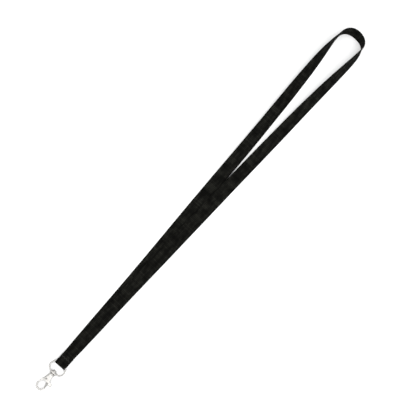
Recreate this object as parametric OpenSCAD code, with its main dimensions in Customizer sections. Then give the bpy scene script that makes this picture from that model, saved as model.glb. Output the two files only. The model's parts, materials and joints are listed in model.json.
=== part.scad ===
// Lanyard with a swivelling spring-gate hook, lying face up with its neck loop on edge.
// Origin: underside of the sewn end, at the seam. +Y runs up the strap, +Z is up.
// Millimetres and degrees.

/* [Webbing] */
// Width of the webbing along the neck loop
webbing_w = 13; // [12.6:0.1:13.2]
// Width where the seam and the fold draw the webbing in
fold_w = 12.4; // [12:0.1:12.4]
// Thickness of the webbing
webbing_t = 1; // [0.8:0.05:1]
// How far each side of the fold lies off the middle, because the webbing is folded slightly askew
fold_shift = 0.25; // [0:0.05:0.25]
// How far past the seam the folded tail reaches
tail_len = 3.5; // [2.5:0.1:3.5]
// How far past the seam the far end reaches, inside the fold
end_len = 4.5; // [3:0.1:5]

/* [Seam] */
// Slanting stitches across the strap
stitches = 8; // [6:1:10]
// Height of the zigzag
zigzag_h = 2.4; // [1.5:0.1:3]
// Diameter of the sewing thread
thread_d = 0.4; // [0.3:0.05:0.5]

/* [Swivel ring] */
// Diameter of the ring's wire
wire_d = 1.5; // [1.4:0.05:1.6]
// Width of the ring, between the wire's centres
ring_w = 16.7; // [16.6:0.1:17.2]
// Height of the ring, from the bar to the bottom of the bend
ring_h = 10.8; // [10.6:0.1:11]
// Length of the barrel that the stud turns in
barrel_len = 7.2; // [6.6:0.1:7.6]
// Diameter of the barrel
barrel_d = 3; // [2.8:0.1:3.2]

/* [Hook] */
// Depth of the pressed body, from face to face
body_d = 3.1; // [3:0.05:3.2]
// Width between the body's cheeks
slot_d = 2; // [1.9:0.05:2.1]
// Radius inside the bow
bow_r = 3.65; // [3.4:0.05:3.7]
// Width of the bow's limb
bow_limb = 1.45; // [1.3:0.05:1.5]
// Depth of the bow's limb
bow_d = 2.1; // [1.9:0.05:2.3]
// Diameter of the stud's shank
stud_d = 1.8; // [1.7:0.05:1.9]
// Diameter of the stud's button head
button_d = 3.4; // [3.2:0.05:3.6]

/* [Gate] */
// Thickness of the lever
lever_t = 1.8; // [1.7:0.05:1.8]
// Outer diameter of the hollow rivet's shank
rivet_d = 1.9; // [1.8:0.05:1.9]
// Diameter of the hole through the rivet
rivet_hole_d = 1.3; // [1.2:0.05:1.4]
// Diameter of the spring's wire
spring_wire_d = 0.25; // [0.2:0.01:0.26]
// Turns of the spring
spring_turns = 3; // [2:1:3]

/* [Hidden] */

black = [0.07, 0.07, 0.07];
thread_black = [0.13, 0.13, 0.13];
nickel = [0.78, 0.77, 0.74];
steel = [0.62, 0.62, 0.62];

axis_z = 1.9;                            // height of the ring and the hook above the surface
bar_y = -8.1;                            // the ring's bar, inside the fold
fold_r = axis_z - webbing_t / 2;         // middle of the webbing around the bar
hook_y = bar_y - ring_h;                 // middle of the barrel
seam_lift = 2.13;                        // underside of the near strand where it is sewn
running = 0.05;                          // radial clearance of a turning fit
eps = 0.01;

// ---- route of the webbing -------------------------------------------------------------------
// Stations along the strap: x, y, tilt from flat, height of the lowest edge.
// The near strand climbs on top of the far one, stands up towards the neck bend, and the strap
// comes back down underneath. A tilt of 180 is the far strand lying flat.
route = [
  [-fold_shift, -10.4, 0, 2.9], [-fold_shift, bar_y, 0, 2 * axis_z - webbing_t],
  [-0.2, -6, 0, 2.64], [-0.15, -3.5, 0, 2.28], [-0.1, 0, 0, seam_lift], [-0.05, 3.5, 0, 2.12],
  [0, 6, 0, 1.93], [0.05, 9, 0, 1.37], [0.1, 12, 0, 1.12],
  [0.2, 16, 0, 1.07], [0.3, 24, 0, 1.06], [0.7, 45, 0, 1.06], [1.1, 70, 0, 1.06], [1.7, 97, 0, 1.06],
  [2.35, 121, 1.2, 0.93], [3, 145, 2.4, 0.77], [3.6, 169, 3.6, 0.55], [4.2, 193, 4.6, 0.35],
  [4.8, 217, 5.6, 0.15], [5.4, 241, 7, 0], [6.2, 265, 11, 0], [7, 289, 16, 0], [7.8, 313, 22, 0],
  [8.6, 337, 30, 0], [9.6, 359, 38, 0], [10.6, 377, 45, 0], [11.6, 392, 53, 0], [12.4, 404, 60, 0],
  [12.9, 414, 68, 0], [12.7, 421.6, 78, 0], [11.8, 427, 91, 0], [9.7, 430.3, 104, 0],
  [5.9, 432.9, 115, 0], [0.2, 434.2, 121, 0], [-5.6, 433.6, 121, 0], [-10, 431.2, 114, 0],
  [-12.9, 427.5, 102, 0], [-14.4, 422.5, 95, 0], [-15.1, 415, 101, 0], [-15, 405, 114, 0],
  [-14.5, 393, 127, 0], [-13.7, 379, 137, 0], [-12.8, 362, 146, 0], [-11.7, 342, 153, 0],
  [-10.5, 318, 158, 0], [-9.4, 294, 164, 0], [-8.4, 268, 170, 0], [-7.6, 243, 175, 0],
  [-6.8, 217, 179, 0], [-6, 193, 180, 0], [-5, 169, 180, 0], [-4, 145, 180, 0], [-3.1, 121, 180, 0],
  [-2.3, 97, 180, 0], [-1.6, 70, 180, 0], [-1, 45, 180, 0], [-0.4, 24, 180, 0], [-0.2, 16, 180, 0],
  [-0.1, 12, 180, 0.03], [0, 9, 180, 0.28], [0, 6, 180, 0.84], [0, 3.5, 180, 1.06], [0, 0, 180, 1.06],
  [0, -end_len, 180, 1.06], [0, -8, 180, 1.06]
];

// Smooth curve through four stations, between the second and the third
function curve(a, b, c, d, t) =
  (2 * b + (c - a) * t + (2 * a - 5 * b + 4 * c - d) * t * t + (3 * b - a - 3 * c + d) * t * t * t) / 2;
function along(i, t) = curve(route[i - 1], route[i], route[i + 1], route[i + 2], t);
// Webbing width at a distance from the seam
function width_at(y) = fold_w + (webbing_w - fold_w) * min(1, max(0, (y - 4) / 16));
// Middle of the webbing at a station
function middle(s) =
  [s[0], s[1], s[3] + width_at(s[1]) / 2 * abs(sin(s[2])) + webbing_t / 2 * abs(cos(s[2]))];
function unit(v) = v / norm(v);
// Direction across the webbing: to the left of the way it runs, turned up by the tilt
function across(a, b, tilt) =
  let (t = unit([b[0] - a[0], b[1] - a[1], 0])) [-t[1] * cos(tilt), t[0] * cos(tilt), sin(tilt)];
// Four corners of the webbing's section
function corners(mid, run, side, w) =
  let (n = unit(cross(run, side)), s = unit(cross(n, run)))
  [for (k = [[-1, -1], [1, -1], [1, 1], [-1, 1]]) mid + s * k[0] * w / 2 + n * k[1] * webbing_t / 2];

// The tail under the fold and the wrap round the ring's bar
tail_rings = [for (y = [tail_len, -1.5, bar_y + 1])
  corners([fold_shift, y, webbing_t / 2], [0, -1, 0], [-1, 0, 0], fold_w)];
wrap_rings = [for (a = [-90:18:72])
  corners([-fold_shift * a / 90, bar_y - fold_r * cos(a), axis_z + fold_r * sin(a)],
          [0, sin(a), cos(a)], [-1, 0, 0], fold_w)];
// Two sections for each stretch of the route
loop_stations = [for (i = [1:len(route) - 3]) for (t = [0, 0.5]) along(i, t)];
loop_ends = concat([route[0]], loop_stations, [route[len(route) - 2]]);
loop_rings = [for (i = [1:len(loop_ends) - 2])
  let (a = loop_ends[i - 1], s = loop_ends[i], b = loop_ends[i + 1])
  corners(middle(s), unit(middle(b) - middle(a)), across(a, b, s[2]), width_at(s[1]))];
last = loop_ends[len(loop_ends) - 1];
end_ring = corners(middle(last), [0, -1, 0], [-1, 0, 0], fold_w);
strap_rings = concat(tail_rings, wrap_rings, loop_rings, [end_ring]);

// One closed solid through a list of sections with the same number of corners
module skin(rings) {
  n = len(rings);
  m = len(rings[0]);
  sides = [for (i = [0:n - 2]) for (k = [0:m - 1])
    let (a = m * i + k, b = m * i + (k + 1) % m)
    each [[a, b, b + m], [a, b + m, a + m]]];
  start = [for (k = [m - 1:-1:0]) k];
  finish = [for (k = [0:m - 1]) m * (n - 1) + k];
  polyhedron(points = [for (r = rings) each r], faces = concat(sides, [start, finish]), convexity = 10);
}

module strap_webbing() {
  color(black) skin(strap_rings);
}

// ---- seam ------------------------------------------------------------------------------------
stitch_pitch = (fold_w - 1.6) / stitches;
stitch_slant = atan2(zigzag_h, stitch_pitch);
stitch_len = norm([zigzag_h, stitch_pitch]) - 1.4 * thread_d;
needle_z = seam_lift + webbing_t;        // thread on the upper face
bobbin_z = thread_d / 2 + 0.02;          // thread on the lower face
lock_z = 1.55;                           // where the two threads lock inside the webbing

// Zigzag of slanting stitches, each with a leg down into the webbing
module thread_row(leg_h) {
  for (i = [0:stitches - 1]) {
    side = i % 2 == 0 ? 1 : -1;
    translate([(i - stitches / 2 + 0.5) * stitch_pitch, 0, 0]) rotate([0, 0, side * stitch_slant]) {
      rotate([0, 90, 0]) cylinder(d = thread_d, h = stitch_len, center = true, $fn = 24);
      translate([0.4 * thread_d - stitch_len / 2, 0, -leg_h])
        cylinder(d = thread_d * 0.8, h = leg_h, $fn = 24);
    }
  }
}
module seam_needle_thread() {
  color(thread_black) translate([0, 0, needle_z]) thread_row(needle_z - lock_z - 0.1);
}
module seam_bobbin_thread() {
  color(thread_black) translate([0, 0, bobbin_z]) rotate([0, 180, 0])
    thread_row(lock_z - 0.1 - bobbin_z);
}

// ---- swivel ring -----------------------------------------------------------------------------
wire_sides = 16;
elbow_r = 0.8;                           // bend between the bar and the side
side_r = 11;                             // upper part of the side
shoulder_r = 4.6;                        // lower part of the side
wide_y = 5.3;                            // height of the widest point above the bottom bend
side_x = ring_w / 2 - side_r;
shoulder_x = ring_w / 2 - shoulder_r;
elbow_y = ring_h - elbow_r;
elbow_x = side_x + sqrt(pow(side_r - elbow_r, 2) - pow(elbow_y - wide_y, 2));
elbow_a = atan2(elbow_y - wide_y, elbow_x - side_x);
bottom_r = (shoulder_x * shoulder_x + wide_y * wide_y - shoulder_r * shoulder_r)
           / (2 * (wide_y - shoulder_r));
shoulder_a = atan2(bottom_r - wide_y, shoulder_x);

// Points of a bend about a centre, in the ring's plane
function bend(x, y, r, from, to, steps) =
  [for (i = [0:steps]) let (a = from + (to - from) * i / steps) [x + r * cos(a), y + r * sin(a)]];
// Middle of the wire on the right, from inside the barrel up to the bar
wire_half = concat(
  bend(0, bottom_r, bottom_r, -90 + asin(2.2 / bottom_r), -shoulder_a, 4),
  bend(shoulder_x, wide_y, shoulder_r, -shoulder_a * 0.85, 0, 6),
  bend(side_x, wide_y, side_r, elbow_a / 4, elbow_a * 0.93, 3),
  bend(elbow_x, elbow_y, elbow_r, elbow_a, 90, 5));
wire_path = concat(wire_half, [for (i = [len(wire_half) - 1:-1:0]) [-wire_half[i][0], wire_half[i][1]]]);
// Round section of the wire, square to its path
function wire_section(i) =
  let (n = len(wire_path), p = wire_path[i],
       run = unit(wire_path[min(n - 1, i + 1)] - wire_path[max(0, i - 1)]), r = wire_d / 2)
  [for (k = [0:wire_sides - 1]) let (a = 360 * k / wire_sides)
    [p[0] + r * cos(a) * run[1], p[1] - r * cos(a) * run[0], r * sin(a)]];
// The bent wire, with its straight bar as a true cylinder that the fold turns on
module wire() {
  skin([for (i = [0:len(wire_path) - 1]) wire_section(i)]);
  translate([0, ring_h, 0]) rotate([0, 90, 0])
    cylinder(d = wire_d + 2 * eps, h = 2 * elbow_x, center = true, $fn = 48);
}
// Barrel with rounded ends, turned about the ring's width
module barrel() {
  round_r = 1.25;
  profile = concat([[0, -barrel_len / 2]],
    [for (a = [-90:15:0]) [barrel_d / 2 - round_r + round_r * cos(a), -barrel_len / 2 + round_r * (1 + sin(a))]],
    [for (a = [0:15:90]) [barrel_d / 2 - round_r + round_r * cos(a), barrel_len / 2 - round_r * (1 - sin(a))]],
    [[0, barrel_len / 2]]);
  rotate([0, 90, 0]) rotate_extrude($fn = 48) polygon(profile);
}
barrel_collar_d = 2.8;
barrel_collar_y = 2.2;
module swivel_ring() {
  color(nickel) translate([0, hook_y, axis_z]) difference() {
    union() {
      wire();
      barrel();
      rotate([-90, 0, 0]) cylinder(d = barrel_collar_d, h = barrel_collar_y, $fn = 48);
    }
    rotate([90, 0, 0]) cylinder(d = stud_d + 2 * running, h = 8, center = true, $fn = 48);
  }
}

// ---- swivel stud -----------------------------------------------------------------------------
button_y = barrel_collar_y + 0.1;        // underside of the button head
button_t = 0.85;
foot_y = -3.5;                           // top of the stud's lower head
foot_d = 2.4;
module swivel_stud() {
  r = stud_d / 2;
  b = button_d / 2;
  profile = [[0, foot_y - 0.8], [foot_d / 2 - 0.2, foot_y - 0.8], [foot_d / 2, foot_y - 0.6],
    [foot_d / 2, foot_y], [r, foot_y], [r, button_y], [b - 0.15, button_y], [b, button_y + 0.15],
    [b, button_y + 0.4], [b - 0.1, button_y + 0.6], [b - 0.4, button_y + 0.78],
    [b - 0.9, button_y + button_t], [0, button_y + button_t]];
  color(nickel) translate([0, hook_y, axis_z]) rotate([-90, 0, 0]) rotate([0, 0, 180])
    rotate_extrude($fn = 64) polygon(profile);
}

// ---- hook ------------------------------------------------------------------------------------
// Points are measured from the middle of the barrel, in the hook's plane.
pivot = [-1.3, -9];                      // rivet and gate pivot
bow = [-0.9, -17.6];                     // middle of the bow
bow_out = bow_r + bow_limb;
nose_a = 165;                            // where the bow ends at its nose
neck_y = -1.75;                          // top of the neck
neck_d = 5.4;
cheek_end = [[0.9, -11.3], [3.4, -11.3]];
shank = [[-2.6, -2.9], [2.35, -2.9], cheek_end[1], cheek_end[0], [-4.35, -10.5]];
slot = [[-2.45, -4.6], [6, -4.6], [6, -12.75], [-3.75, -12.75], [-3.75, -10.4]];
bevel = 0.35;

module at_hook() {
  translate([0, hook_y, axis_z]) children();
}
module plate(outline, t) {
  linear_extrude(height = t, center = true) polygon(outline);
}
// Outline of the shank drawn in on every side, for its bevelled edge
function drawn_in(points, d) =
  let (mid = [for (k = [0, 1]) (min([for (p = points) p[k]]) + max([for (p = points) p[k]])) / 2])
  [for (p = points) [p[0] + (p[0] < mid[0] ? d : -d), p[1] + (p[1] < mid[1] ? d : -d) * 0.2]];
module bow_section() {
  c = 0.3;
  h = bow_d / 2;
  translate([bow_r, 0])
    polygon([[0, c - h], [c, -h], [bow_limb - c, -h], [bow_limb, c - h],
             [bow_limb, h - c], [bow_limb - c, h], [c, h], [0, h - c]]);
}
module limb() {
  h = bow_d / 2;
  low = bow[1] + 0.5;
  hull() {
    plate([cheek_end[0], cheek_end[1], cheek_end[1] + [0.02, -0.1], cheek_end[0] + [0.02, -0.1]],
          body_d - 2 * bevel);
    plate([cheek_end[0] + [bevel, 0], cheek_end[1] - [bevel, 0], cheek_end[1] - [bevel, 0.1],
           cheek_end[0] + [bevel, -0.1]], body_d);
    plate([[bow[0] + bow_r, low], [bow[0] + bow_out, low], [bow[0] + bow_out, low - 0.1],
           [bow[0] + bow_r, low - 0.1]], 2 * h - 0.6);
    plate([[bow[0] + bow_r + 0.3, low], [bow[0] + bow_out - 0.3, low],
           [bow[0] + bow_out - 0.3, low - 0.1], [bow[0] + bow_r + 0.3, low - 0.1]], 2 * h);
  }
}
// Nose that the gate closes behind
nose_out = bow + bow_out * [cos(nose_a), sin(nose_a)];
nose_in = bow + bow_r * [cos(nose_a), sin(nose_a)];
nose_tip = [-5.72, -15];
nose_root = [for (r = [bow_out - 0.1, bow_r + 0.1]) bow + r * [cos(nose_a + 8), sin(nose_a + 8)]];

module hook_body() {
  color(nickel) at_hook() difference() {
    union() {
      intersection() {
        rotate([90, 0, 0]) translate([0, 0, -neck_y]) cylinder(d = neck_d, h = 1.3, $fn = 64);
        cube([neck_d + 1, 20, body_d], center = true);
      }
      hull() {
        plate(shank, body_d - 2 * bevel);
        plate(drawn_in(shank, bevel), body_d);
      }
      limb();
      translate([bow[0], bow[1], 0]) rotate([0, 0, nose_a])
        rotate_extrude(angle = 365 - nose_a, $fn = 128) bow_section();
      plate([nose_root[0], nose_root[1], nose_in, nose_tip, nose_out], bow_d - 0.6);
    }
    plate(slot, slot_d);
    translate([pivot[0], pivot[1], 0]) cylinder(d = rivet_d + 2 * eps, h = 6, center = true, $fn = 48);
    rotate([90, 0, 0]) cylinder(d = stud_d + 2 * eps, h = 6, $fn = 48);
    rotate([90, 0, 0]) translate([0, 0, -foot_y - eps]) cylinder(d = foot_d + 2 * eps, h = 2, $fn = 48);
  }
}

// ---- gate ------------------------------------------------------------------------------------
thumb = [6.1, -11.6];                    // middle of the thumb pad
thumb_r = 1.5;
spring_room = 5;                         // diameter of the thinned hub that the spring sits on
hub_face = 0.05;                         // height of the thinned hub's face
arm = [[-3.1, -8.6], [-3.6, -9.8], [-3.64, -10.65], [-4.38, -10.65], [-5.5, -14.95], [-4.4, -16.4],
       [-4.2, -16.3], [-4.05, -15.4], [-3.5, -12.9], [-2.9, -11.3], [-1.3, -10.7]];
tab = [[-0.9, -7.3], [3, -9], thumb + [0.45, 1.43], thumb, thumb + [-0.4, -1.45], [3.3, -12.4],
       [1.2, -11.1], [-0.8, -10.7]];

module gate_lever() {
  color(nickel) at_hook() difference() {
    union() {
      plate(arm, lever_t);
      plate(tab, lever_t);
      translate([pivot[0], pivot[1], 0]) cylinder(r = 1.85, h = lever_t, center = true, $fn = 48);
      translate([thumb[0], thumb[1], 0]) cylinder(r = thumb_r, h = lever_t, center = true, $fn = 48);
    }
    translate([pivot[0], pivot[1], 0]) {
      cylinder(d = rivet_d + 2 * running, h = 6, center = true, $fn = 48);
      translate([0, 0, hub_face]) cylinder(d = spring_room, h = 3, $fn = 64);
    }
  }
}

coil_r = 1.3;
coil_pitch = spring_wire_d - 0.02;
spring_leg_d = spring_wire_d * 0.9;
coil_z = hub_face + 0.05 + spring_wire_d / 2;
module gate_spring() {
  top_z = coil_z + (spring_turns - 1) * coil_pitch;
  color(steel) at_hook() translate([pivot[0], pivot[1], 0]) {
    rotate_extrude($fn = 48)
      for (i = [0:spring_turns - 1])
        translate([coil_r, coil_z + i * coil_pitch]) circle(d = spring_wire_d, $fn = 16);
    translate([-coil_r, 0.3, top_z]) rotate([-90, 0, 0])
      cylinder(d = spring_leg_d, h = 2.2, $fn = 16);
    translate([0.3, -coil_r, coil_z]) rotate([0, 90, 0])
      cylinder(d = spring_leg_d, h = 1.7, $fn = 16);
  }
}

rivet_head_d = 2.7;
rivet_head_t = 0.3;
module gate_rivet() {
  r = rivet_d / 2;
  h = body_d / 2;
  f = rivet_head_d / 2;
  top = h + rivet_head_t;
  half = [[r, h], [f - 0.05, h], [f, h + 0.08], [f - 0.05, h + 0.2], [f - 0.25, top],
          [rivet_hole_d / 2 + 0.15, top], [rivet_hole_d / 2, top - 0.12]];
  color(nickel) at_hook() translate([pivot[0], pivot[1], 0]) rotate_extrude($fn = 64)
    polygon(concat(half, [for (i = [len(half) - 1:-1:0]) [half[i][0], -half[i][1]]]));
}

strap_webbing();
seam_needle_thread();
seam_bobbin_thread();
swivel_ring();
swivel_stud();
hook_body();
gate_lever();
gate_spring();
gate_rivet();
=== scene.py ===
# %% [markdown]
# # A neck lanyard with a swivelling hook
#
# One length of ribbed black webbing goes round the bar of a wire ring, makes the neck loop and comes
# back to its own start, where a zigzag seam closes it. Below the ring hangs a small plated hook.
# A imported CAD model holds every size, place and hinge. This lesson loads it as a fixed frame and
# builds the pieces that are looked at around it, one cell at a time.

# %% Load the fixed frame
import json
import math

import bmesh
import bpy
import numpy as np
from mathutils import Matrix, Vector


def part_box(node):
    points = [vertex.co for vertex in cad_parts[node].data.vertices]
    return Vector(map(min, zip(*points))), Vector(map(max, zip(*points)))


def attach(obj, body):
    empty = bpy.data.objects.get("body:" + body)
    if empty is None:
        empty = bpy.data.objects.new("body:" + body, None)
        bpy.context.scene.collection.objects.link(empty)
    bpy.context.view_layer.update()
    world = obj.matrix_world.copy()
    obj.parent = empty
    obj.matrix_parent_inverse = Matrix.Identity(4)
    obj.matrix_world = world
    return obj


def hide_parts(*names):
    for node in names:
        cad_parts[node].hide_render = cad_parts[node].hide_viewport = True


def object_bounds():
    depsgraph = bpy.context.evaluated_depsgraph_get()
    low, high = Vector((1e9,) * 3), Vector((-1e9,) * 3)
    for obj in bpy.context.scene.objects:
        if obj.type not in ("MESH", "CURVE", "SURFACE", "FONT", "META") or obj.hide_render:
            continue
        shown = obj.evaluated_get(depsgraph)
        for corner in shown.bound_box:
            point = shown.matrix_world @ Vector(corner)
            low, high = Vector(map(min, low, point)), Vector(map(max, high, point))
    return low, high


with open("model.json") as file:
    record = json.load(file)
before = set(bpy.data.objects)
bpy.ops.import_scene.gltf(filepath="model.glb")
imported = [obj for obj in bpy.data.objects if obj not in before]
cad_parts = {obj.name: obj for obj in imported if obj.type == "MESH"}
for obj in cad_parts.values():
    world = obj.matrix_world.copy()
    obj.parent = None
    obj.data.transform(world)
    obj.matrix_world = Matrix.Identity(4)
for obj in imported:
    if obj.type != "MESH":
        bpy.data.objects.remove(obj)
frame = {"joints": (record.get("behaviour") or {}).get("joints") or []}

cad_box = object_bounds()
mm = 0.001
joints = {joint["name"]: joint for joint in frame["joints"]}
bar = np.array(joints["ring_flap"]["pos_m"])
barrel = np.array(joints["hook_swivel"]["pos_m"])
pivot = np.array(joints["gate_pivot"]["pos_m"])
print("box of the part, mm:", [[round(v / mm, 1) for v in corner] for corner in cad_box])

# %% [markdown]
# ## The camera
#
# The lanyard is seen from straight above, turned so that its length runs from the lower left to the
# upper right. A long lens from far away keeps the strap's two edges parallel. The view transform is
# Standard, because a filmic curve would turn a white table grey.

# %% Camera straight above the strap
view_width = 0.400
camera_height = 1.6
camera_turn = math.radians(42.1)
view_middle = (-0.0070, 0.2073)

camera_data = bpy.data.cameras.new("camera")
camera_data.sensor_width = 36
camera_data.lens = camera_data.sensor_width * camera_height / view_width
camera = bpy.data.objects.new("camera", camera_data)
camera.location = (*view_middle, camera_height)
camera.rotation_euler = (0, 0, camera_turn)
bpy.context.scene.collection.objects.link(camera)
bpy.context.scene.camera = camera
bpy.context.scene.view_settings.view_transform = "Standard"
print("lens, mm:", round(camera_data.lens))

# %% [markdown]
# ## From arrays to meshes
#
# Nearly every piece here is a section carried along a path: webbing, wire, thread, a turned stud.
# Worked out as a grid of points, with one row for each step along and one column for each step
# round, such a surface needs no modelling by hand, and the faces follow from the grid alone.


# %% A closed skin over a grid of points
def skin(points, uv=None, caps=True):
    """Mesh data of a tube: each face joins steps i and i+1 along with steps j and j+1 round, and the
    last column joins the first. A cap is one polygon over an end row."""
    rows, columns = points.shape[:2]
    i, j = np.meshgrid(np.arange(rows - 1), np.arange(columns), indexing="ij")
    i, j = i.ravel(), j.ravel()
    steps = np.stack([i, i, i + 1, i + 1], axis=1)
    rounds = np.stack([j, j + 1, j + 1, j], axis=1)
    faces = (steps * columns + rounds % columns).tolist()
    corner_uv = None if uv is None else uv[steps, rounds].reshape(-1, 2)
    if caps:
        ends = [np.arange(columns)[::-1], (rows - 1) * columns + np.arange(columns)]
        faces += [end.tolist() for end in ends]
        if uv is not None:
            flat = [uv[0, :columns][::-1], uv[-1, :columns]]
            corner_uv = np.concatenate([corner_uv, *flat])
    return points.reshape(-1, 3), faces, corner_uv


# %% One object from several skins
def build(name, skins, weld=1e-7, sharp=40):
    """Puts the skins' corners and faces in one mesh, welds corners that coincide, turns every face
    outwards, and shades it smooth except across edges that turn more than `sharp` degrees."""
    corners, faces, uvs, start = [], [], [], 0
    for points, polygons, corner_uv in skins:
        corners.append(points)
        faces += [[start + k for k in polygon] for polygon in polygons]
        start += len(points)
        uvs.append(corner_uv)
    mesh = bpy.data.meshes.new(name)
    mesh.from_pydata(np.concatenate(corners), [], faces)
    if uvs[0] is not None:
        layer = mesh.uv_layers.new(name="UVMap")
        layer.data.foreach_set("uv", np.concatenate(uvs).astype(np.float32).ravel())
    work = bmesh.new()
    work.from_mesh(mesh)
    bmesh.ops.remove_doubles(work, verts=work.verts, dist=weld)
    bmesh.ops.recalc_face_normals(work, faces=work.faces)
    work.to_mesh(mesh)
    work.free()
    mesh.shade_smooth()
    mesh.set_sharp_from_angle(angle=math.radians(sharp))
    piece = bpy.data.objects.new(name, mesh)
    bpy.context.scene.collection.objects.link(piece)
    return piece


# %% What every finished piece says to the frame
def finish_piece(piece, body, node, material):
    """Gives the piece its finish, lets it ride its body and stand for its CAD node, and reports it."""
    piece.data.materials.clear()
    piece.data.materials.append(material)
    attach(piece, body)
    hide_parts(node)
    piece.data.calc_loop_triangles()
    size = np.ptp([v.co for v in piece.data.vertices], axis=0) / mm
    print(piece.name, "triangles:", len(piece.data.loop_triangles), "size, mm:", np.round(size, 1))


# %% [markdown]
# ## Curves and sections
#
# A few small functions on whole arrays cover all the paths: arcs, a smooth curve through listed
# stations, and points at even distances. A round section carried square to its path makes
# wire and thread. A profile turned round an axis makes the stud and the rivet.


# %% Arrays along a path
def unit(v):
    """Each vector divided by its own length."""
    return v / np.linalg.norm(v, axis=-1, keepdims=True)


def arc(centre, radius, start, stop, count):
    """Points of a circle about a centre, from one angle in degrees to another."""
    a = np.radians(np.linspace(start, stop, count))
    return np.stack([centre[0] + radius * np.cos(a), centre[1] + radius * np.sin(a)], axis=1)


def smooth_curve(stations, count):
    """Catmull-Rom curve: each span is the cubic that passes its two stations in the direction of the
    line between their neighbours. The first and last stations only set the direction."""
    a, b, c, d = (stations[k : len(stations) - 3 + k, None] for k in range(4))
    t = np.linspace(0, 1, count, endpoint=False)[:, None]
    spans = 2 * b + (c - a) * t + (2 * a - 5 * b + 4 * c - d) * t**2 + (3 * b - a - 3 * c + d) * t**3
    return np.concatenate([spans.reshape(-1, stations.shape[1]) / 2, stations[-2:-1]])


def distance_along(points):
    """Length of the path up to each of its points."""
    steps = np.linalg.norm(np.diff(points, axis=0), axis=1)
    return np.concatenate([[0], np.cumsum(steps)])


def at_distances(wanted, distance, values):
    """Columns of values read at the wanted distances, in a straight line between the given ones."""
    return np.stack([np.interp(wanted, distance, column) for column in values.T], axis=1)


def even_steps(points, count):
    """The same path with its points at equal distances."""
    distance = distance_along(points)
    return at_distances(np.linspace(0, distance[-1], count), distance, points)


# %% A round section along a path
def wire(path, radius, sides):
    """Tube: at each point of the path a circle of the given radius stands square to the path.
    The circle's first axis is the path's direction crossed with the vertical, and its second closes it."""
    run = unit(np.gradient(path, axis=0))
    first = unit(np.cross(run, (0.0, 0.0, 1.0)))
    second = np.cross(first, run)
    a = np.linspace(0, 2 * np.pi, sides, endpoint=False)[None, :, None]
    radius = np.broadcast_to(radius, len(path))[:, None, None]
    return path[:, None] + radius * (np.cos(a) * first[:, None] + np.sin(a) * second[:, None])


# %% A profile turned round an axis
def turned(profile, centre, axis, sides):
    """Surface of revolution: a profile of radius and height, with each point carried round the axis
    through the centre. The rows follow the profile and the columns go round."""
    axis = np.array(axis, float)
    first = unit(np.cross(axis, np.roll(axis, 1)))
    second = np.cross(axis, first)
    a = np.linspace(0, 2 * np.pi, sides, endpoint=False)[None, :, None]
    spoke = np.cos(a) * first + np.sin(a) * second
    return centre + profile[:, 0, None, None] * spoke + profile[:, 1, None, None] * axis


def rounded(corners, radii, steps=6):
    """Outline with each corner cut back by its radius along both sides and joined by a quadratic
    curve that has the corner as its control point. One more point on each side, a little further
    back, keeps the straight stretch flat under smooth shading. A radius of 0 leaves a corner sharp."""
    corners = np.array(corners, float)
    before = unit(np.roll(corners, 1, axis=0) - corners)
    after = unit(np.roll(corners, -1, axis=0) - corners)
    r = np.broadcast_to(radii, len(corners))[:, None]
    t = np.linspace(0, 1, steps)[:, None, None]
    curve = (1 - t) ** 2 * (corners + before * r) + 2 * t * (1 - t) * corners + t**2 * (corners + after * r)
    held = [(corners + before * r * 1.15)[None], curve, (corners + after * r * 1.15)[None]]
    return np.concatenate(held).transpose(1, 0, 2).reshape(-1, 2)


# %% [markdown]
# ## The webbing's route
#
# A strap is not a bent box: it can't stretch sideways, so it lies flat, tilts, stands on edge in the
# neck bend and comes back face down. The route is a list of stations with the place, the tilt from
# flat and the height of the lowest edge. The tail and the turn round the bar come before it. A cloth
# simulation would lose the exact length and the flat selvedges, so the strap is laid by its route.

# %% Stations of the neck loop
webbing_width = 13 * mm
fold_width = 12.4 * mm
webbing_t = 1 * mm
tail_end = 3.5 * mm
fold_shift = 0.25 * mm
fold_radius = bar[2] - webbing_t / 2

# x, y in mm, tilt in degrees, lowest edge in mm
near_strand = [
    [-0.25, -10.4, 0, 2.9], [-0.25, -8.1, 0, 2.8], [-0.2, -6, 0, 2.64], [-0.15, -3.5, 0, 2.28],
    [-0.1, 0, 0, 2.13], [-0.05, 3.5, 0, 2.12], [0, 6, 0, 1.93], [0.05, 9, 0, 1.37],
    [0.1, 12, 0, 1.12], [0.2, 16, 0, 1.07], [0.3, 24, 0, 1.06], [0.7, 45, 0, 1.06],
    [1.1, 70, 0, 1.06], [1.7, 97, 0, 1.06], [2.35, 121, 1.2, 0.93], [3, 145, 2.4, 0.77],
    [3.6, 169, 3.6, 0.55], [4.2, 193, 4.6, 0.35], [4.8, 217, 5.6, 0.15], [5.4, 241, 7, 0],
    [6.2, 265, 11, 0], [7, 289, 16, 0], [7.8, 313, 22, 0], [8.6, 337, 30, 0], [9.6, 359, 38, 0],
    [10.6, 377, 45, 0], [11.6, 392, 53, 0], [12.4, 404, 60, 0], [12.9, 414, 68, 0],
]
neck_bend = [
    [12.7, 421.6, 78, 0], [11.8, 427, 91, 0], [9.7, 430.3, 104, 0], [5.9, 432.9, 115, 0],
    [0.2, 434.2, 121, 0], [-5.6, 433.6, 121, 0], [-10, 431.2, 114, 0], [-12.9, 427.5, 102, 0],
    [-14.4, 422.5, 95, 0], [-15.1, 415, 101, 0],
]
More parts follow.
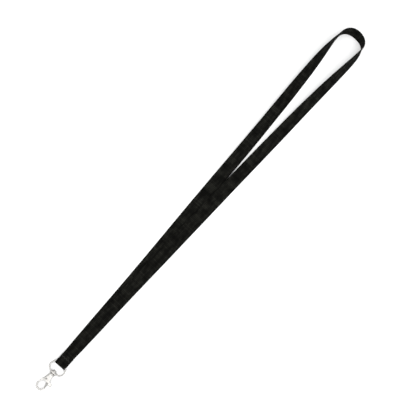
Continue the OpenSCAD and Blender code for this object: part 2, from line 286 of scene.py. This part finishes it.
far_strand = [
    [-15, 405, 114, 0], [-14.5, 393, 127, 0], [-13.7, 379, 137, 0], [-12.8, 362, 146, 0],
    [-11.7, 342, 153, 0], [-10.5, 318, 158, 0], [-9.4, 294, 164, 0], [-8.4, 268, 170, 0],
    [-7.6, 243, 175, 0], [-6.8, 217, 179, 0], [-6, 193, 180, 0], [-5, 169, 180, 0],
    [-4, 145, 180, 0], [-3.1, 121, 180, 0], [-2.3, 97, 180, 0], [-1.6, 70, 180, 0], [-1, 45, 180, 0],
    [-0.4, 24, 180, 0], [-0.2, 16, 180, 0], [-0.1, 12, 180, 0.03], [0, 9, 180, 0.28],
    [0, 6, 180, 0.84], [0, 3.5, 180, 1.06], [0, 0, 180, 1.06], [0, -4.5, 180, 1.06],
    [0, -8, 180, 1.06],
]
route = np.array(near_strand + neck_bend + far_strand)


# %% Middle line and sideways direction of the whole strap
def width_at(y):
    """Full width along the loop, drawn in over 16 mm towards the seam and the fold."""
    return fold_width + (webbing_width - fold_width) * np.clip((y - 4 * mm) / (16 * mm), 0, 1)


x, y, tilt, low = smooth_curve(route, 24).T * [[mm], [mm], [np.pi / 180], [mm]]
plan_run = unit(np.gradient(np.stack([x, y], axis=1), axis=0))
half_rise = width_at(y) / 2 * np.abs(np.sin(tilt)) + webbing_t / 2 * np.abs(np.cos(tilt))
loop_middle = np.stack([x, y, low + half_rise], axis=1)
loop_side = np.stack([-plan_run[:, 1] * np.cos(tilt), plan_run[:, 0] * np.cos(tilt), np.sin(tilt)], axis=1)

turn = np.radians(np.linspace(-90, 90, 60, endpoint=False))
fold_x = -fold_shift * turn / (np.pi / 2)
fold_y = bar[1] - fold_radius * np.cos(turn)
fold_z = bar[2] + fold_radius * np.sin(turn)
fold_middle = np.stack([fold_x, fold_y, fold_z], axis=1)
tail_middle = np.array([[fold_shift, tail_end, webbing_t / 2]])

strap_middle = np.concatenate([tail_middle, fold_middle, loop_middle])
flat_side = np.broadcast_to([-1.0, 0, 0], (1 + len(fold_middle), 3))
strap_side = np.concatenate([flat_side, loop_side])
strap_distance = distance_along(strap_middle)
webbing_length = strap_distance[-1]
print("webbing cut length, mm:", round(webbing_length / mm, 1))

# %% [markdown]
# ## Ribbed webbing
#
# Lanyard webbing is woven with a thick weft, so it has a rib about every millimetre and a half from
# selvedge to selvedge. The ribs catch the light one by one, and that is most of what is seen of black
# webbing. They are real relief here: five rows of points for each rib, close to the groove and wide
# over the crest. The yarns inside a rib are too fine for that and are left to the finish. The UV map
# holds the distance round the section and the distance along the strap, in metres, and both relief
# and finish count their ribs from it.

# %% Relief of the ribs
rib_pitch = 1.53 * mm
rib_depth = 0.17 * mm
selvedge_r = 0.42 * mm
selvedge_dip = 0.08 * mm
rib_drift = 0.03 * mm
seam_press = 0.2 * mm
seam_reach = 1.5 * mm
seam_middle = 1.6 * mm
ribs = round(webbing_length / rib_pitch)
rib_pitch = webbing_length / ribs
rib_phase = np.array([0, 0.13, 0.36, 0.64, 0.87])
rib_height = np.array([0, 0.62, 1, 1, 0.62])

along = ((np.arange(ribs)[:, None] + rib_phase).ravel() * rib_pitch)[1:]
crest = np.tile(rib_height, ribs)[1:]
middle = at_distances(along, strap_distance, strap_middle)
run = unit(np.gradient(middle, axis=0))
side = at_distances(along, strap_distance, strap_side)
normal = unit(np.cross(run, side))
half_width = width_at(middle[:, 1]) / 2


# %% Section of the webbing
def selvedge(count):
    """Half circle from the top face round the edge to the bottom face, as outward and upward shares."""
    a = np.linspace(np.pi / 2, -np.pi / 2, count)
    return np.cos(a), np.sin(a)


across = np.linspace(-1, 1, 10)
edge_out, edge_up = selvedge(5)
share_across = np.concatenate([across[:-1], np.ones(5), across[::-1][1:-1], -np.ones(5)])
share_out = np.concatenate([np.zeros(9), edge_out, np.zeros(8), -edge_out])
share_up = np.concatenate([np.ones(9), edge_up, -np.ones(8), -edge_up])


def strap_points():
    """Every row is the section at one distance along: across by its share of the half width, out by
    the selvedge's roundness, up by half the thickness less the groove. Slow waves shift the ribs
    along the strap, and the sewn stretch is pressed in from above."""
    reach = (half_width - selvedge_r)[:, None] * share_across
    reach = reach + (selvedge_r + selvedge_dip * (crest - 1))[:, None] * share_out
    wave = np.sin(reach / (1.6 * mm) + along[:, None] / (7 * mm))
    wave = wave + np.sin(reach / (2.9 * mm) - along[:, None] / (3.1 * mm) + 1.3)
    uneven = 0.8 + 0.2 * np.sin(along[:, None] / (0.9 * mm) + 2 * np.sin(reach / (2.3 * mm)))
    groove = rib_depth * (1 - crest)[:, None] * uneven
    rise = (webbing_t / 2 - groove) * share_up
    sewn = np.exp(-((middle[:, 1] / seam_reach) ** 2)) * (np.abs(middle[:, 2] - seam_middle) > mm)
    rise = rise - seam_press * sewn[:, None] * (share_up > 0)
    shift = rib_drift * wave
    return (
        middle[:, None]
        + reach[..., None] * side[:, None]
        + rise[..., None] * normal[:, None]
        + shift[..., None] * run[:, None]
    )


# %% The strap as one mesh
strap_grid = strap_points()
round_section = np.concatenate([strap_grid[200], strap_grid[200, :1]])
around = distance_along(round_section)
strap_uv = np.stack(np.broadcast_arrays(around[None, :], along[:, None]), axis=-1)
webbing = build("webbing", [skin(strap_grid, strap_uv)], sharp=75)
print("ribs:", ribs, "pitch, mm:", round(rib_pitch / mm, 3))


# %% [markdown]
# ## The seam
#
# A zigzag closes the loop. A lockstitch has two threads: the needle thread lies on the face and dips
# at every turn, and the bobbin thread does the same on the back. Both are one path, a triangle wave
# that dives where it turns, carried by a round section. The back one is the same path turned over.

# %% A zigzag thread
stitches = 8
stitch_pitch = (fold_width - 1.6 * mm) / stitches
zigzag_height = 2.4 * mm
thread_r = 0.2 * mm


def zigzag(level, dip):
    """Path of a thread: even steps across, a triangle wave along the strap, and at each turn a dip
    that falls off quickly, as a high power of the cosine."""
    step = np.linspace(0, stitches, stitches * 24 + 1)
    wave = 2 * np.abs((step % 2) - 1) - 1
    depth = dip * np.cos(np.pi * step) ** 12
    return np.stack([(step - stitches / 2) * stitch_pitch, wave * zigzag_height / 2, level - depth], axis=1)


def thread(name, level, dip):
    """The zigzag as a round thread, with its own length and turn as UV for the twist."""
    path = zigzag(level, dip)
    sides = 10
    points = wire(path, thread_r, sides)
    lengths = distance_along(path)[:, None]
    turns = np.linspace(0, 1, sides + 1)[None, :] * 2 * np.pi * thread_r
    return build(name, [skin(points, np.stack(np.broadcast_arrays(turns, lengths), axis=-1))])


needle_thread = thread("needle_thread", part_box("seam_needle_thread")[1].z - 0.28 * mm, 0.55 * mm)
bobbin_thread = thread("bobbin_thread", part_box("seam_bobbin_thread")[0].z + thread_r + 0.01 * mm, -0.55 * mm)

# %% [markdown]
# ## Cutting one solid with another
#
# Slots and bores go right through the metal. An exact Boolean cuts them as a mill would. The cutter is
# thrown away, and what is left is one closed mesh that needs no live modifier.


# %% An exact Boolean, applied
def carve(piece, tool, operation="DIFFERENCE", sharp=32):
    """Joins the piece with the tool, or cuts the tool out of it, and applies the result."""
    modifier = piece.modifiers.new("carve", "BOOLEAN")
    modifier.operation = operation
    modifier.solver = "EXACT"
    modifier.object = tool
    graph = bpy.context.evaluated_depsgraph_get()
    made = bpy.data.meshes.new_from_object(piece.evaluated_get(graph))
    piece.modifiers.clear()
    piece.data = made
    bpy.data.objects.remove(tool)
    made.shade_smooth()
    made.set_sharp_from_angle(angle=math.radians(sharp))


def rod(centre, axis, radius, start, stop, sides=64):
    """Closed cylinder from one height to another along an axis through a centre."""
    profile = np.array([[0, start], [radius, start], [radius, stop], [0, stop]])
    return build("rod", [skin(turned(profile, centre, axis, sides), caps=False)])


# %% [markdown]
# ## The swivel ring
#
# The ring is one bent wire with both ends pressed into a barrel. In plan it is a chain of arcs that
# share their tangents: bottom bend, shoulder, side and the tight elbow below the fold, then the
# straight bar. The barrel is turned about the ring's width and has a collar that the stud's head
# rests on.

# %% Path of the wire
wire_r = 0.75 * mm
ring_width = 16.7 * mm
elbow_r = 1.1 * mm
side_r = 11 * mm
shoulder_r = 4.6 * mm
wide_y = 5.3 * mm
ring_height = bar[1] - barrel[1]
side_x = ring_width / 2 - side_r
shoulder_x = ring_width / 2 - shoulder_r
elbow_y = ring_height - elbow_r
elbow_x = side_x + math.sqrt((side_r - elbow_r) ** 2 - (elbow_y - wide_y) ** 2)
elbow_turn = math.degrees(math.atan2(elbow_y - wide_y, elbow_x - side_x))
bottom_r = (shoulder_x**2 + wide_y**2 - shoulder_r**2) / (2 * (wide_y - shoulder_r))
shoulder_turn = math.degrees(math.atan2(bottom_r - wide_y, shoulder_x))
wire_start = -90 + math.degrees(math.asin(2.4 * mm / bottom_r))

right_half = np.concatenate([
    arc((0, bottom_r), bottom_r, wire_start, -shoulder_turn, 12),
    arc((shoulder_x, wide_y), shoulder_r, -shoulder_turn, 0, 40)[1:],
    arc((side_x, wide_y), side_r, 0, elbow_turn, 30)[1:],
    arc((elbow_x, elbow_y), elbow_r, elbow_turn, 90, 16)[1:],
])
ring_plan = even_steps(np.concatenate([right_half, right_half[::-1] * [-1, 1]]), 320)
ring_path = np.column_stack([ring_plan, np.zeros(len(ring_plan))]) + barrel
print("ring width over the wire, mm:", round(np.ptp(ring_path[:, 0]) / mm + 1.5, 2))

# %% Wire, barrel and collar in one
barrel_profile = rounded(
    [(0, -3.6), (1.36, -3.6), (1.5, -1.3), (1.5, 1.3), (1.36, 3.6), (0, 3.6)], [0, 1.1, 0.8, 0.8, 1.1, 0]
)
collar_profile = rounded([(0, 0.2), (1.32, 0.2), (1.4, 2.2), (0, 2.2)], [0, 0, 0.2, 0])
ring = build("ring", [skin(wire(ring_path, wire_r, 28))])
barrel_skin = skin(turned(barrel_profile * mm, barrel, (1, 0, 0), 72), caps=False)
carve(ring, build("barrel", [barrel_skin]), "UNION")
collar_skin = skin(turned(collar_profile * mm, barrel, (0, 1, 0), 72), caps=False)
carve(ring, build("collar", [collar_skin]), "UNION")
bore_r = 0.95 * mm
carve(ring, rod(barrel, (0, 1, 0), bore_r, -4 * mm, 4 * mm))

# %% [markdown]
# ## The swivel stud
#
# The stud joins hook and ring. It is a turned pin: a button head over the collar, a shank through the
# bore, and a foot pressed into the hook's neck. One profile turned round the hook's axis gives all
# three, with a small dished top on the button as the rivet set leaves it.

# %% Stud
stud_profile = rounded(
    [
        (0, -4.3), (1.2, -4.3), (1.2, -3.5), (0.9, -3.4), (0.9, 2.3),
        (1.7, 2.3), (1.7, 3.1), (0.9, 3.15), (0, 3.05),
    ],
    [0, 0.2, 0.1, 0.1, 0.1, 0.15, 0.3, 0.3, 0],
)
stud = build("stud", [skin(turned(stud_profile * mm, barrel, (0, 1, 0), 72), caps=False)])

# %% [markdown]
# ## The hook body
#
# The body is one small pressing: a flat shank with a round back and an open side, a limb, and a bow
# that ends in a nose. All of it is one skin. Each row of the skin is a rounded section between an
# inner point and an outer point in plan, and the rows walk down the two rings of the neck, the shank
# and its lower edge, then down the limb and round the bow. A short moving average over the rows
# rounds the corners of the outline, as a pressing's are. Slot and bores are cut afterwards.

# %% Inner and outer edges of the body
bow_centre = np.array([-0.9, -17.6])
bow_inner = 3.65
bow_outer = 5.1
bow_half = 1.05


def edge(points, count):
    """Points spread evenly over each leg of a polyline, with the same number on every leg."""
    legs = np.array(points, float)
    share = np.linspace(0, 1, count, endpoint=False)[None, :, None]
    return (legs[:-1, None] * (1 - share) + legs[1:, None] * share).reshape(-1, legs.shape[1])


# height, half width, half depth, roundness
neck_steps = np.array([
    (-1.75, 2.2, 1.1, 0.9), (-1.75, 2.45, 1.35, 1.1), (-1.79, 2.55, 1.45, 1.2), (-1.88, 2.6, 1.5, 1.2),
    (-2.12, 2.6, 1.5, 1.2), (-2.18, 2.55, 1.45, 1.2), (-2.2, 2.25, 1.15, 1.0), (-2.42, 2.25, 1.15, 1.0),
    (-2.44, 2.6, 1.5, 1.2), (-2.5, 2.67, 1.57, 1.2), (-2.58, 2.7, 1.6, 1.2), (-2.98, 2.7, 1.6, 1.2),
    (-3.06, 2.67, 1.57, 1.2), (-3.1, 2.6, 1.5, 1.1),
])
neck_y, neck_wide, neck_deep, neck_round = neck_steps.T
neck_rows = np.stack([-neck_wide, neck_y, neck_wide, neck_y, neck_deep, neck_round, neck_round], axis=1)

# inner x, inner y, outer x, outer y, half depth, inner roundness, outer roundness
shank_rows = edge([
    (-2.5, -3.12, 2.3, -3.12, 1.45, 1.1, 0.5),
    (-2.68, -3.6, 2.42, -3.6, 1.5, 1.25, 0.35),
    (-4.3, -10.3, 3.28, -10.3, 1.5, 1.25, 0.35),
    (-4.35, -10.5, 3.3, -10.5, 1.5, 1.2, 0.35),
    (0.5, -11.15, 3.38, -11.15, 1.5, 0.5, 0.35),
    (1.0, -11.6, 3.44, -11.6, 1.47, 0.4, 0.4),
    (2.05, -14.9, 3.9, -14.9, 1.25, 0.45, 0.5),
    (2.75, -17.5, 4.2, -17.5, 1.05, 0.45, 0.55),
], 36)
bow_turn = np.radians(np.linspace(0, -195, 150))
spoke = np.stack([np.cos(bow_turn), np.sin(bow_turn)], axis=1)
bow_shape = np.broadcast_to([bow_half, 0.45, 0.55], (len(spoke), 3))
bow_rows = np.column_stack([bow_centre + bow_inner * spoke, bow_centre + bow_outer * spoke, bow_shape])
nose_rows = edge([
    (*bow_rows[-1],),
    (-4.7, -16.38, -5.86, -15.92, 1.0, 0.35, 0.45),
    (-4.8, -16.26, -5.82, -15.68, 0.93, 0.32, 0.4),
    (-4.9, -16.16, -5.75, -15.62, 0.82, 0.28, 0.32),
    (-5.02, -16.07, -5.66, -15.66, 0.68, 0.2, 0.22),
], 14)[1:]


# %% Rows to rounded sections
def soften(rows, reach):
    """Moving average over `reach` rows to each side, with the end rows kept."""
    padded = np.concatenate([rows[:1].repeat(reach, axis=0), rows, rows[-1:].repeat(reach, axis=0)])
    total = np.cumsum(np.concatenate([np.zeros((1, rows.shape[1])), padded]), axis=0)
    return (total[2 * reach + 1 :] - total[: -2 * reach - 1]) / (2 * reach + 1)


def sections(rows):
    """Rounded rectangles between the inner and the outer points. Each corner is a quarter circle, and
    two points on each flat between corners keep it flat under smooth shading."""
    inner, outer, half, r_in, r_out = rows[:, :2], rows[:, 2:4], rows[:, 4], rows[:, 5], rows[:, 6]
    width = np.linalg.norm(outer - inner, axis=1)
    r = np.stack([r_in, r_out, r_out, r_in], axis=1)[..., None]
    p = np.stack([r_in, width - r_out, width - r_out, r_in], axis=1)[..., None]
    z = np.stack([r_in - half, r_out - half, half - r_out, half - r_in], axis=1)[..., None]
    a = np.radians(np.array([[180], [270], [0], [90]]) + np.linspace(0, 90, 7))
    corner = np.stack([p + r * np.cos(a), z + r * np.sin(a)], axis=-1)
    start = np.roll(corner[:, :, :1], -1, axis=1)
    stop = corner[:, :, -1:]
    flat = stop + (start - stop) * np.array([0.12, 0.88])[:, None]
    loop = np.concatenate([corner, flat], axis=2).reshape(len(rows), -1, 2)
    plan = inner[:, None] + loop[..., :1] * unit(outer - inner)[:, None]
    return np.concatenate([plan, loop[..., 1:]], axis=2)


body_rows = soften(np.concatenate([shank_rows, bow_rows, nose_rows]), 3)
body_points = sections(np.concatenate([neck_rows, body_rows])) * mm + barrel
hook = build("hook", [skin(body_points)], sharp=50)


# %% Slot and bores
def plate(outline, half, edge_r):
    """Flat piece with rounded edges: rows climb from the lower face round the edge to the upper face,
    and each row is the outline moved inwards, square to itself, by the edge's quarter circles."""
    run = unit(np.roll(outline, -1, axis=0) - np.roll(outline, 1, axis=0))
    inward = np.stack([-run[:, 1], run[:, 0]], axis=1)
    a = np.radians(np.linspace(-90, 0, 6))
    inset = edge_r * (1 - np.cos(a))
    rise = half - edge_r * (1 + np.sin(a))
    inset = np.concatenate([[edge_r * 1.3], inset, inset[::-1], [edge_r * 1.3]])
    rise = np.concatenate([[-half], -rise, rise[::-1], [half]])
    plan = outline + inset[:, None, None] * inward
    height = np.broadcast_to(rise[:, None, None], (*plan.shape[:2], 1))
    return np.concatenate([plan, height], axis=2)


def solid_plate(name, outline, half, edge_r):
    """A plate at the hook, as an object of its own."""
    return build(name, [skin(plate(outline, half, edge_r) * mm + barrel)])


slot_outline = rounded(
    [(-2.4, -4.6), (-3.3, -8.5), (-3.75, -10.4), (-3.75, -12.75), (3.2, -12.75), (6, -10.5), (6, -4.6)],
    [0.5, 0.3, 0.3, 0.3, 1.2, 0.3, 0.3],
)
slot_half = 1.0
plate_edge = 0.12
rivet_r = 0.95 * mm
stud_r = 0.9 * mm
foot_r = 1.2 * mm
foot_top = -3.49 * mm
carve(hook, solid_plate("slot", slot_outline, slot_half, plate_edge))
carve(hook, rod(pivot, (0, 0, 1), rivet_r, -3 * mm, 3 * mm))
carve(hook, rod(barrel, (0, 1, 0), stud_r, -5 * mm, 0))
carve(hook, rod(barrel, (0, 1, 0), foot_r, -5.5 * mm, foot_top))

# %% [markdown]
# ## The gate lever
#
# Gate and thumb tab are one lever on the rivet. Its outline is a closed chain of corners with a
# radius at each, carried up a rounded edge to make a plate. The hub is thinned on the upper side for
# the spring, a shallow channel runs along the gate's arm, and the thumb tab has a shallow rest.

# %% Lever
lever_corners = [
    (-0.4, -7.2), (-2.4, -7.2), (-3.15, -8.5), (-3.6, -9.8), (-3.75, -10.6), (-4.38, -10.7),
    (-5.6, -15.35), (-4.62, -16.1), (-4.15, -16.1), (-4.02, -15.4), (-3.5, -12.9), (-2.9, -11.4),
    (-1.3, -10.75), (1.2, -11.1), (3.3, -12.4), (5.3, -13.15), (7.2, -13.1), (7.65, -11.2),
    (6.7, -10.1), (3.0, -9.0),
]
lever_radii = [
    0.8, 0.9, 0.4, 0.3, 0.15, 0.2, 0.15, 0.12, 0.12, 0.3,
    0.5, 0.6, 0.6, 0.6, 0.4, 0.5, 0.8, 0.75, 0.4, 0.8,
]
lever_outline = rounded(lever_corners, lever_radii)
lever_half = 0.9
lever = solid_plate("lever", lever_outline, lever_half, plate_edge)
spring_room_r = 2.5 * mm
hub_face = 0.05 * mm
lever_bore_r = 1.0 * mm
carve(lever, rod(pivot, (0, 0, 1), spring_room_r, hub_face, 3 * mm))
carve(lever, rod(pivot, (0, 0, 1), lever_bore_r, -3 * mm, 3 * mm))
channel = rounded([(-4.5, -12.3), (-5.1, -14.95), (-4.72, -15.35), (-4.45, -14.95), (-3.95, -12.4)], 0.12)
channel_half = 0.3
channel_middle = 0.98
channel_points = plate(channel, channel_half, 0.05) + [0, 0, channel_middle]
carve(lever, build("channel", [skin(channel_points * mm + barrel)]))
thumb_rest = barrel + np.array([7.4, -12.4, 2.1]) * mm
thumb_rest_r = 1.6 * mm
carve(lever, rod(thumb_rest, (0.37, 0.93, 0), thumb_rest_r, -3 * mm, 3 * mm))

# %% [markdown]
# ## Rivet and spring
#
# The rivet is a tube with both ends rolled over, so a hole goes right through the hook. The spring
# sits round it between the cheeks: a helix of a little over two turns with straight legs, one
# against the body and one against the lever.

# %% Rivet
rivet_profile = rounded(
    [
        (0.95, -1.55), (1.35, -1.55), (1.35, -1.85), (0.65, -1.85),
        (0.65, 1.85), (1.35, 1.85), (1.35, 1.55), (0.95, 1.55),
    ],
    [0.02, 0.08, 0.2, 0.14, 0.14, 0.2, 0.08, 0.02],
)
rivet_ring = np.concatenate([rivet_profile, rivet_profile[:1]]) * mm
rivet = build("rivet", [skin(turned(rivet_ring, pivot, (0, 0, 1), 72), caps=False)])

# %% Spring
coil_r = 1.3
coil_low = 0.23
coil_high = 0.8
coil_turns = 2.25
spring_wire_r = 0.125 * mm
angle = -np.pi / 2 - np.linspace(0, 2 * np.pi * coil_turns, 220)
climb = np.linspace(coil_low, coil_high, 220)
coil = np.stack([coil_r * np.cos(angle), coil_r * np.sin(angle), climb], axis=1)
lower_leg = np.array([[2.0, -coil_r, coil_low], [1.0, -coil_r, coil_low]])
upper_leg = np.array([[-coil_r, 1.2, coil_high], [-coil_r, 2.4, coil_high]])
spring_path = even_steps(np.concatenate([lower_leg, coil, upper_leg]), 320) * mm + pivot
spring = build("spring", [skin(wire(spring_path, spring_wire_r, 12))])

# %% [markdown]
# ## Shader maths as expressions
#
# A finish is a formula on a few sockets. A small class wraps a socket so that the formula can be
# written as one: each operator adds a Math node. Everything else comes from one method that takes the
# node's type, its settings, which are set first, and what goes into its sockets.


# %% Sockets with operators
class Wire:
    """A socket in a node tree. Arithmetic on it gives the socket of a new Math node."""

    def __init__(self, recipe, socket):
        self.recipe = recipe
        self.socket = socket

    def maths(self, operation, *inputs):
        return self.recipe.node("ShaderNodeMath", {"operation": operation}, dict(enumerate(inputs)))

    def __add__(self, other):
        return self.maths("ADD", self, other)

    def __sub__(self, other):
        return self.maths("SUBTRACT", self, other)

    def __rsub__(self, other):
        return self.maths("SUBTRACT", other, self)

    def __mul__(self, other):
        return self.maths("MULTIPLY", self, other)

    def __truediv__(self, other):
        return self.maths("DIVIDE", self, other)

    def __pow__(self, other):
        return self.maths("POWER", self, other)

    def __mod__(self, other):
        return self.maths("FLOORED_MODULO", self, other)

    def __abs__(self):
        return self.maths("ABSOLUTE", self)

    __radd__ = __add__
    __rmul__ = __mul__

    def floor(self):
        return self.maths("FLOOR", self)

    def sine(self):
        return self.maths("SINE", self)


class Recipe:
    """A node tree that is written as expressions."""

    def __init__(self, tree):
        self.tree = tree
        tree.nodes.clear()

    def node(self, kind, settings=None, inputs=None, output=0):
        """Adds a node, sets its settings, then its sockets by name or number, and returns one output."""
        made = self.tree.nodes.new(kind)
        for name, value in (settings or {}).items():
            setattr(made, name, value)
        for name, value in (inputs or {}).items():
            if isinstance(value, Wire):
                self.tree.links.new(value.socket, made.inputs[name])
            else:
                made.inputs[name].default_value = value
        return Wire(self, made.outputs[output]) if made.outputs else None

    def split(self, vector):
        """The three numbers of a vector."""
        first = self.node("ShaderNodeSeparateXYZ", None, {0: vector})
        return [Wire(self, socket) for socket in first.socket.node.outputs]

    def join(self, x, y, z=0):
        """A vector of three numbers."""
        return self.node("ShaderNodeCombineXYZ", None, {0: x, 1: y, 2: z})

    def mix(self, share, first, second):
        """Colour between two colours."""
        kind = {"data_type": "RGBA"}
        return self.node("ShaderNodeMix", kind, {0: share, 6: first, 7: second}, 2)

    def noise(self, vector, scale, detail=2, roughness=0.5):
        """Smooth noise of about 0 to 1."""
        inputs = {"Vector": vector, "Scale": scale, "Detail": detail, "Roughness": roughness}
        return self.node("ShaderNodeTexNoise", None, inputs)

    def span(self, value, low, high, to_low=0, to_high=1):
        """Value carried smoothly from one span to another, and held at its ends."""
        inputs = {0: value, 1: low, 2: high, 3: to_low, 4: to_high}
        return self.node("ShaderNodeMapRange", {"interpolation_type": "SMOOTHSTEP"}, inputs)

    def bump(self, height, distance):
        """Normal tilted by a height, whose full range stands `distance` metres high."""
        return self.node("ShaderNodeBump", None, {"Height": height, "Distance": distance})


def finish(name, make):
    """A material whose Principled shader takes what make() returns: constants and links by socket."""
    material = bpy.data.materials.new(name)
    material.use_nodes = True
    recipe = Recipe(material.node_tree)
    shader = recipe.node("ShaderNodeBsdfPrincipled", None, make(recipe))
    recipe.node("ShaderNodeOutputMaterial", None, {"Surface": shader})
    return material


# %% [markdown]
# ## Black ribbed polyester
#
# Black webbing is never quite black. Its colour paints light and shade on the relief: the crests of
# the ribs and the crowns of the warp yarns are a painted highlight in warm dark grey, and the grooves
# and the gaps between the yarns are painted shade, near black. Each rib and each yarn is also a little
# lighter or darker than the next at random. The rib count comes from the UV map, so the painted shade
# follows the relief. Warp yarns half a millimetre wide cross every rib and shift by half a yarn on the
# next one. The specular level is low, because the yarns scatter light.

# %% Webbing finish
yarn = 0.5 * mm


def webbing_maker(r):
    across, along, _ = r.split(r.node("ShaderNodeUVMap", {"uv_map": "UVMap"}))
    rib = along / rib_pitch
    row = rib.floor()
    crest = abs((rib % 1) * 2 - 1)
    crest = 1 - crest * crest * crest
    count = across / yarn + row * 0.5
    strand = 1 - abs((count % 1) * 2 - 1) ** 2
    yarn_and_row = r.join(count.floor(), row)
    tone = r.node("ShaderNodeTexWhiteNoise", {"noise_dimensions": "2D"}, {"Vector": yarn_and_row})
    hairs = r.noise(r.join(across * 24000, along * 2600), 1)
    patches = r.noise(r.join(across * 260, along * 90), 1, 3)
    worn = r.node("ShaderNodeTexWhiteNoise", {"noise_dimensions": "1D"}, {"W": row})
    # Painted highlight and shade: rib crests and yarn crowns lighter, grooves and gaps between yarns near
    # black; the tone, worn and patches factors are random tone
    painted_shade_and_tone = crest * (0.35 + 0.65 * strand) * (0.55 + 0.45 * tone) * (0.45 + 0.55 * worn)
    painted_shade_and_tone = painted_shade_and_tone * (0.45 + 0.9 * r.span(patches, 0.36, 0.64))
    colour = r.mix(painted_shade_and_tone, (0.0003, 0.0003, 0.0003, 1), (0.018, 0.018, 0.0148, 1))
    height = crest * (0.5 + 0.5 * strand) + 0.25 * hairs
    return {
        "Base Color": colour,
        "Roughness": 0.85 - 0.2 * painted_shade_and_tone,
        "Specular IOR Level": 0.03,
        "Normal": r.bump(height, 0.12 * mm),
    }


webbing_finish = finish("black_ribbed_polyester", webbing_maker)

# %% [markdown]
# ## Sewing thread
#
# Filament thread is three plies twisted together. The twist is a slanted stripe: a sine of the turn
# and the length together, used for the bump and for a painted shade that darkens the grooves between
# the plies and lightens their crowns.


# %% Thread finish
def thread_maker(r):
    turn, length, _ = r.split(r.node("ShaderNodeUVMap", {"uv_map": "UVMap"}))
    twist = ((turn + length) * (3 / thread_r)).sine() * 0.5 + 0.5
    return {
        # Painted shade: darker in the twist's grooves, lighter on the plies' crowns
        "Base Color": r.mix(twist, (0.003, 0.003, 0.003, 1), (0.03, 0.03, 0.027, 1)),
        "Roughness": 0.6 - 0.15 * twist,
        "Specular IOR Level": 0.25,
        "Normal": r.bump(twist, 0.06 * mm),
    }


thread_finish = finish("black_thread", thread_maker)

# %% [markdown]
# ## Nickel plate
#
# Cheap lanyard hooks are polished, then plated with bright nickel over steel. The plate is slightly warm
# and never a perfect mirror: tumbling leaves a very shallow orange peel, handling leaves fine hairline
# scratches and duller patches. They change the roughness and the bump far more than the colour.


# %% Nickel finish
def nickel_maker(r):
    place = r.node("ShaderNodeTexCoord", None, None, 3)
    patches = r.noise(place, 420, 3)
    peel = r.noise(place, 1500, 2)
    grain = {"Vector": place, "Rotation": (0.3, 0.2, 0.6), "Scale": (900, 9000, 9000)}
    stretched = r.node("ShaderNodeMapping", None, grain)
    hairline = r.span(r.noise(stretched, 1, 4, 0.7), 0.5, 0.75)
    dull = r.span(patches, 0.35, 0.8)
    return {
        "Base Color": r.mix(dull, (0.42, 0.41, 0.395, 1), (0.36, 0.355, 0.34, 1)),
        "Metallic": 1.0,
        "Roughness": 0.19 + 0.05 * dull + 0.05 * hairline,
        "Normal": r.bump(peel + 0.3 * hairline, 0.004 * mm),
    }


nickel_finish = finish("nickel_plate", nickel_maker)


# %% [markdown]
# ## Spring steel
#
# The spring is drawn wire, grey and a little oily, with drawing lines along it.


# %% Spring finish
def spring_maker(r):
    place = r.node("ShaderNodeTexCoord", None, None, 3)
    grain = r.noise(place, 6000, 3)
    return {
        "Base Color": r.mix(grain, (0.36, 0.35, 0.34, 1), (0.58, 0.57, 0.55, 1)),
        "Metallic": 1.0,
        "Roughness": 0.28 + 0.15 * grain,
        "Normal": r.bump(grain, 0.003 * mm),
    }


spring_finish = finish("spring_steel", spring_maker)

# %% [markdown]
# ## Every piece on its body
#
# Each piece rides the body that carries it, stands for its CAD node and takes its finish.

# %% Finish and ride
finish_piece(webbing, "strap", "strap_webbing", webbing_finish)
finish_piece(needle_thread, "strap", "seam_needle_thread", thread_finish)
finish_piece(bobbin_thread, "strap", "seam_bobbin_thread", thread_finish)
finish_piece(ring, "ring", "swivel_ring", nickel_finish)
finish_piece(stud, "hook", "swivel_stud", nickel_finish)
finish_piece(hook, "hook", "hook_body", nickel_finish)
finish_piece(rivet, "hook", "gate_rivet", nickel_finish)
finish_piece(spring, "hook", "gate_spring", spring_finish)
finish_piece(lever, "gate", "gate_lever", nickel_finish)

# %% [markdown]
# ## Table and light
#
# The table is a plain white sheet. Most of the light comes from a broad ring of soft light halfway up
# the sky, which leaves no hard shadow on any side. A small bright patch overhead turns flat metal
# nearly white. The dark gaps around the patch and near the horizon are what slopes reflect, and they
# draw the grey outlines that make polished metal readable.

# %% Table
table_mesh = bpy.data.meshes.new("table")
reach = 6.0
table_corners = [(-reach, -reach, 0), (reach, -reach, 0), (reach, reach, 0), (-reach, reach, 0)]
table_mesh.from_pydata(table_corners, [], [(0, 1, 2, 3)])
table = bpy.data.objects.new("table", table_mesh)
bpy.context.scene.collection.objects.link(table)
table.location.z = cad_box[0].z - 0.02 * mm


def table_maker(r):
    return {"Base Color": (0.9, 0.9, 0.9, 1), "Roughness": 0.9, "Specular IOR Level": 0.1}


table.data.materials.append(finish("white_table", table_maker))

# %% Sky
world = bpy.data.worlds.new("studio")
bpy.context.scene.world = world
world.use_nodes = True
sky = Recipe(world.node_tree)
view = sky.node("ShaderNodeTexCoord")
rightward, toward_bend, upward = sky.split(view)
off_zenith = ((rightward - 0.06) ** 2 + toward_bend**2) ** 0.5
spot = 1 - sky.span(off_zenith, 0.12, 0.36)
lamp = sky.span(off_zenith, 0.42, 0.56) - sky.span(off_zenith, 0.8, 0.92)
shade = (0.12 + 3.2 * spot + 2.7 * lamp) * sky.span(upward, -0.05, 0.05)
background = sky.node("ShaderNodeBackground", None, {"Color": shade, "Strength": 1.0})
sky.node("ShaderNodeOutputWorld", None, {"Surface": background})
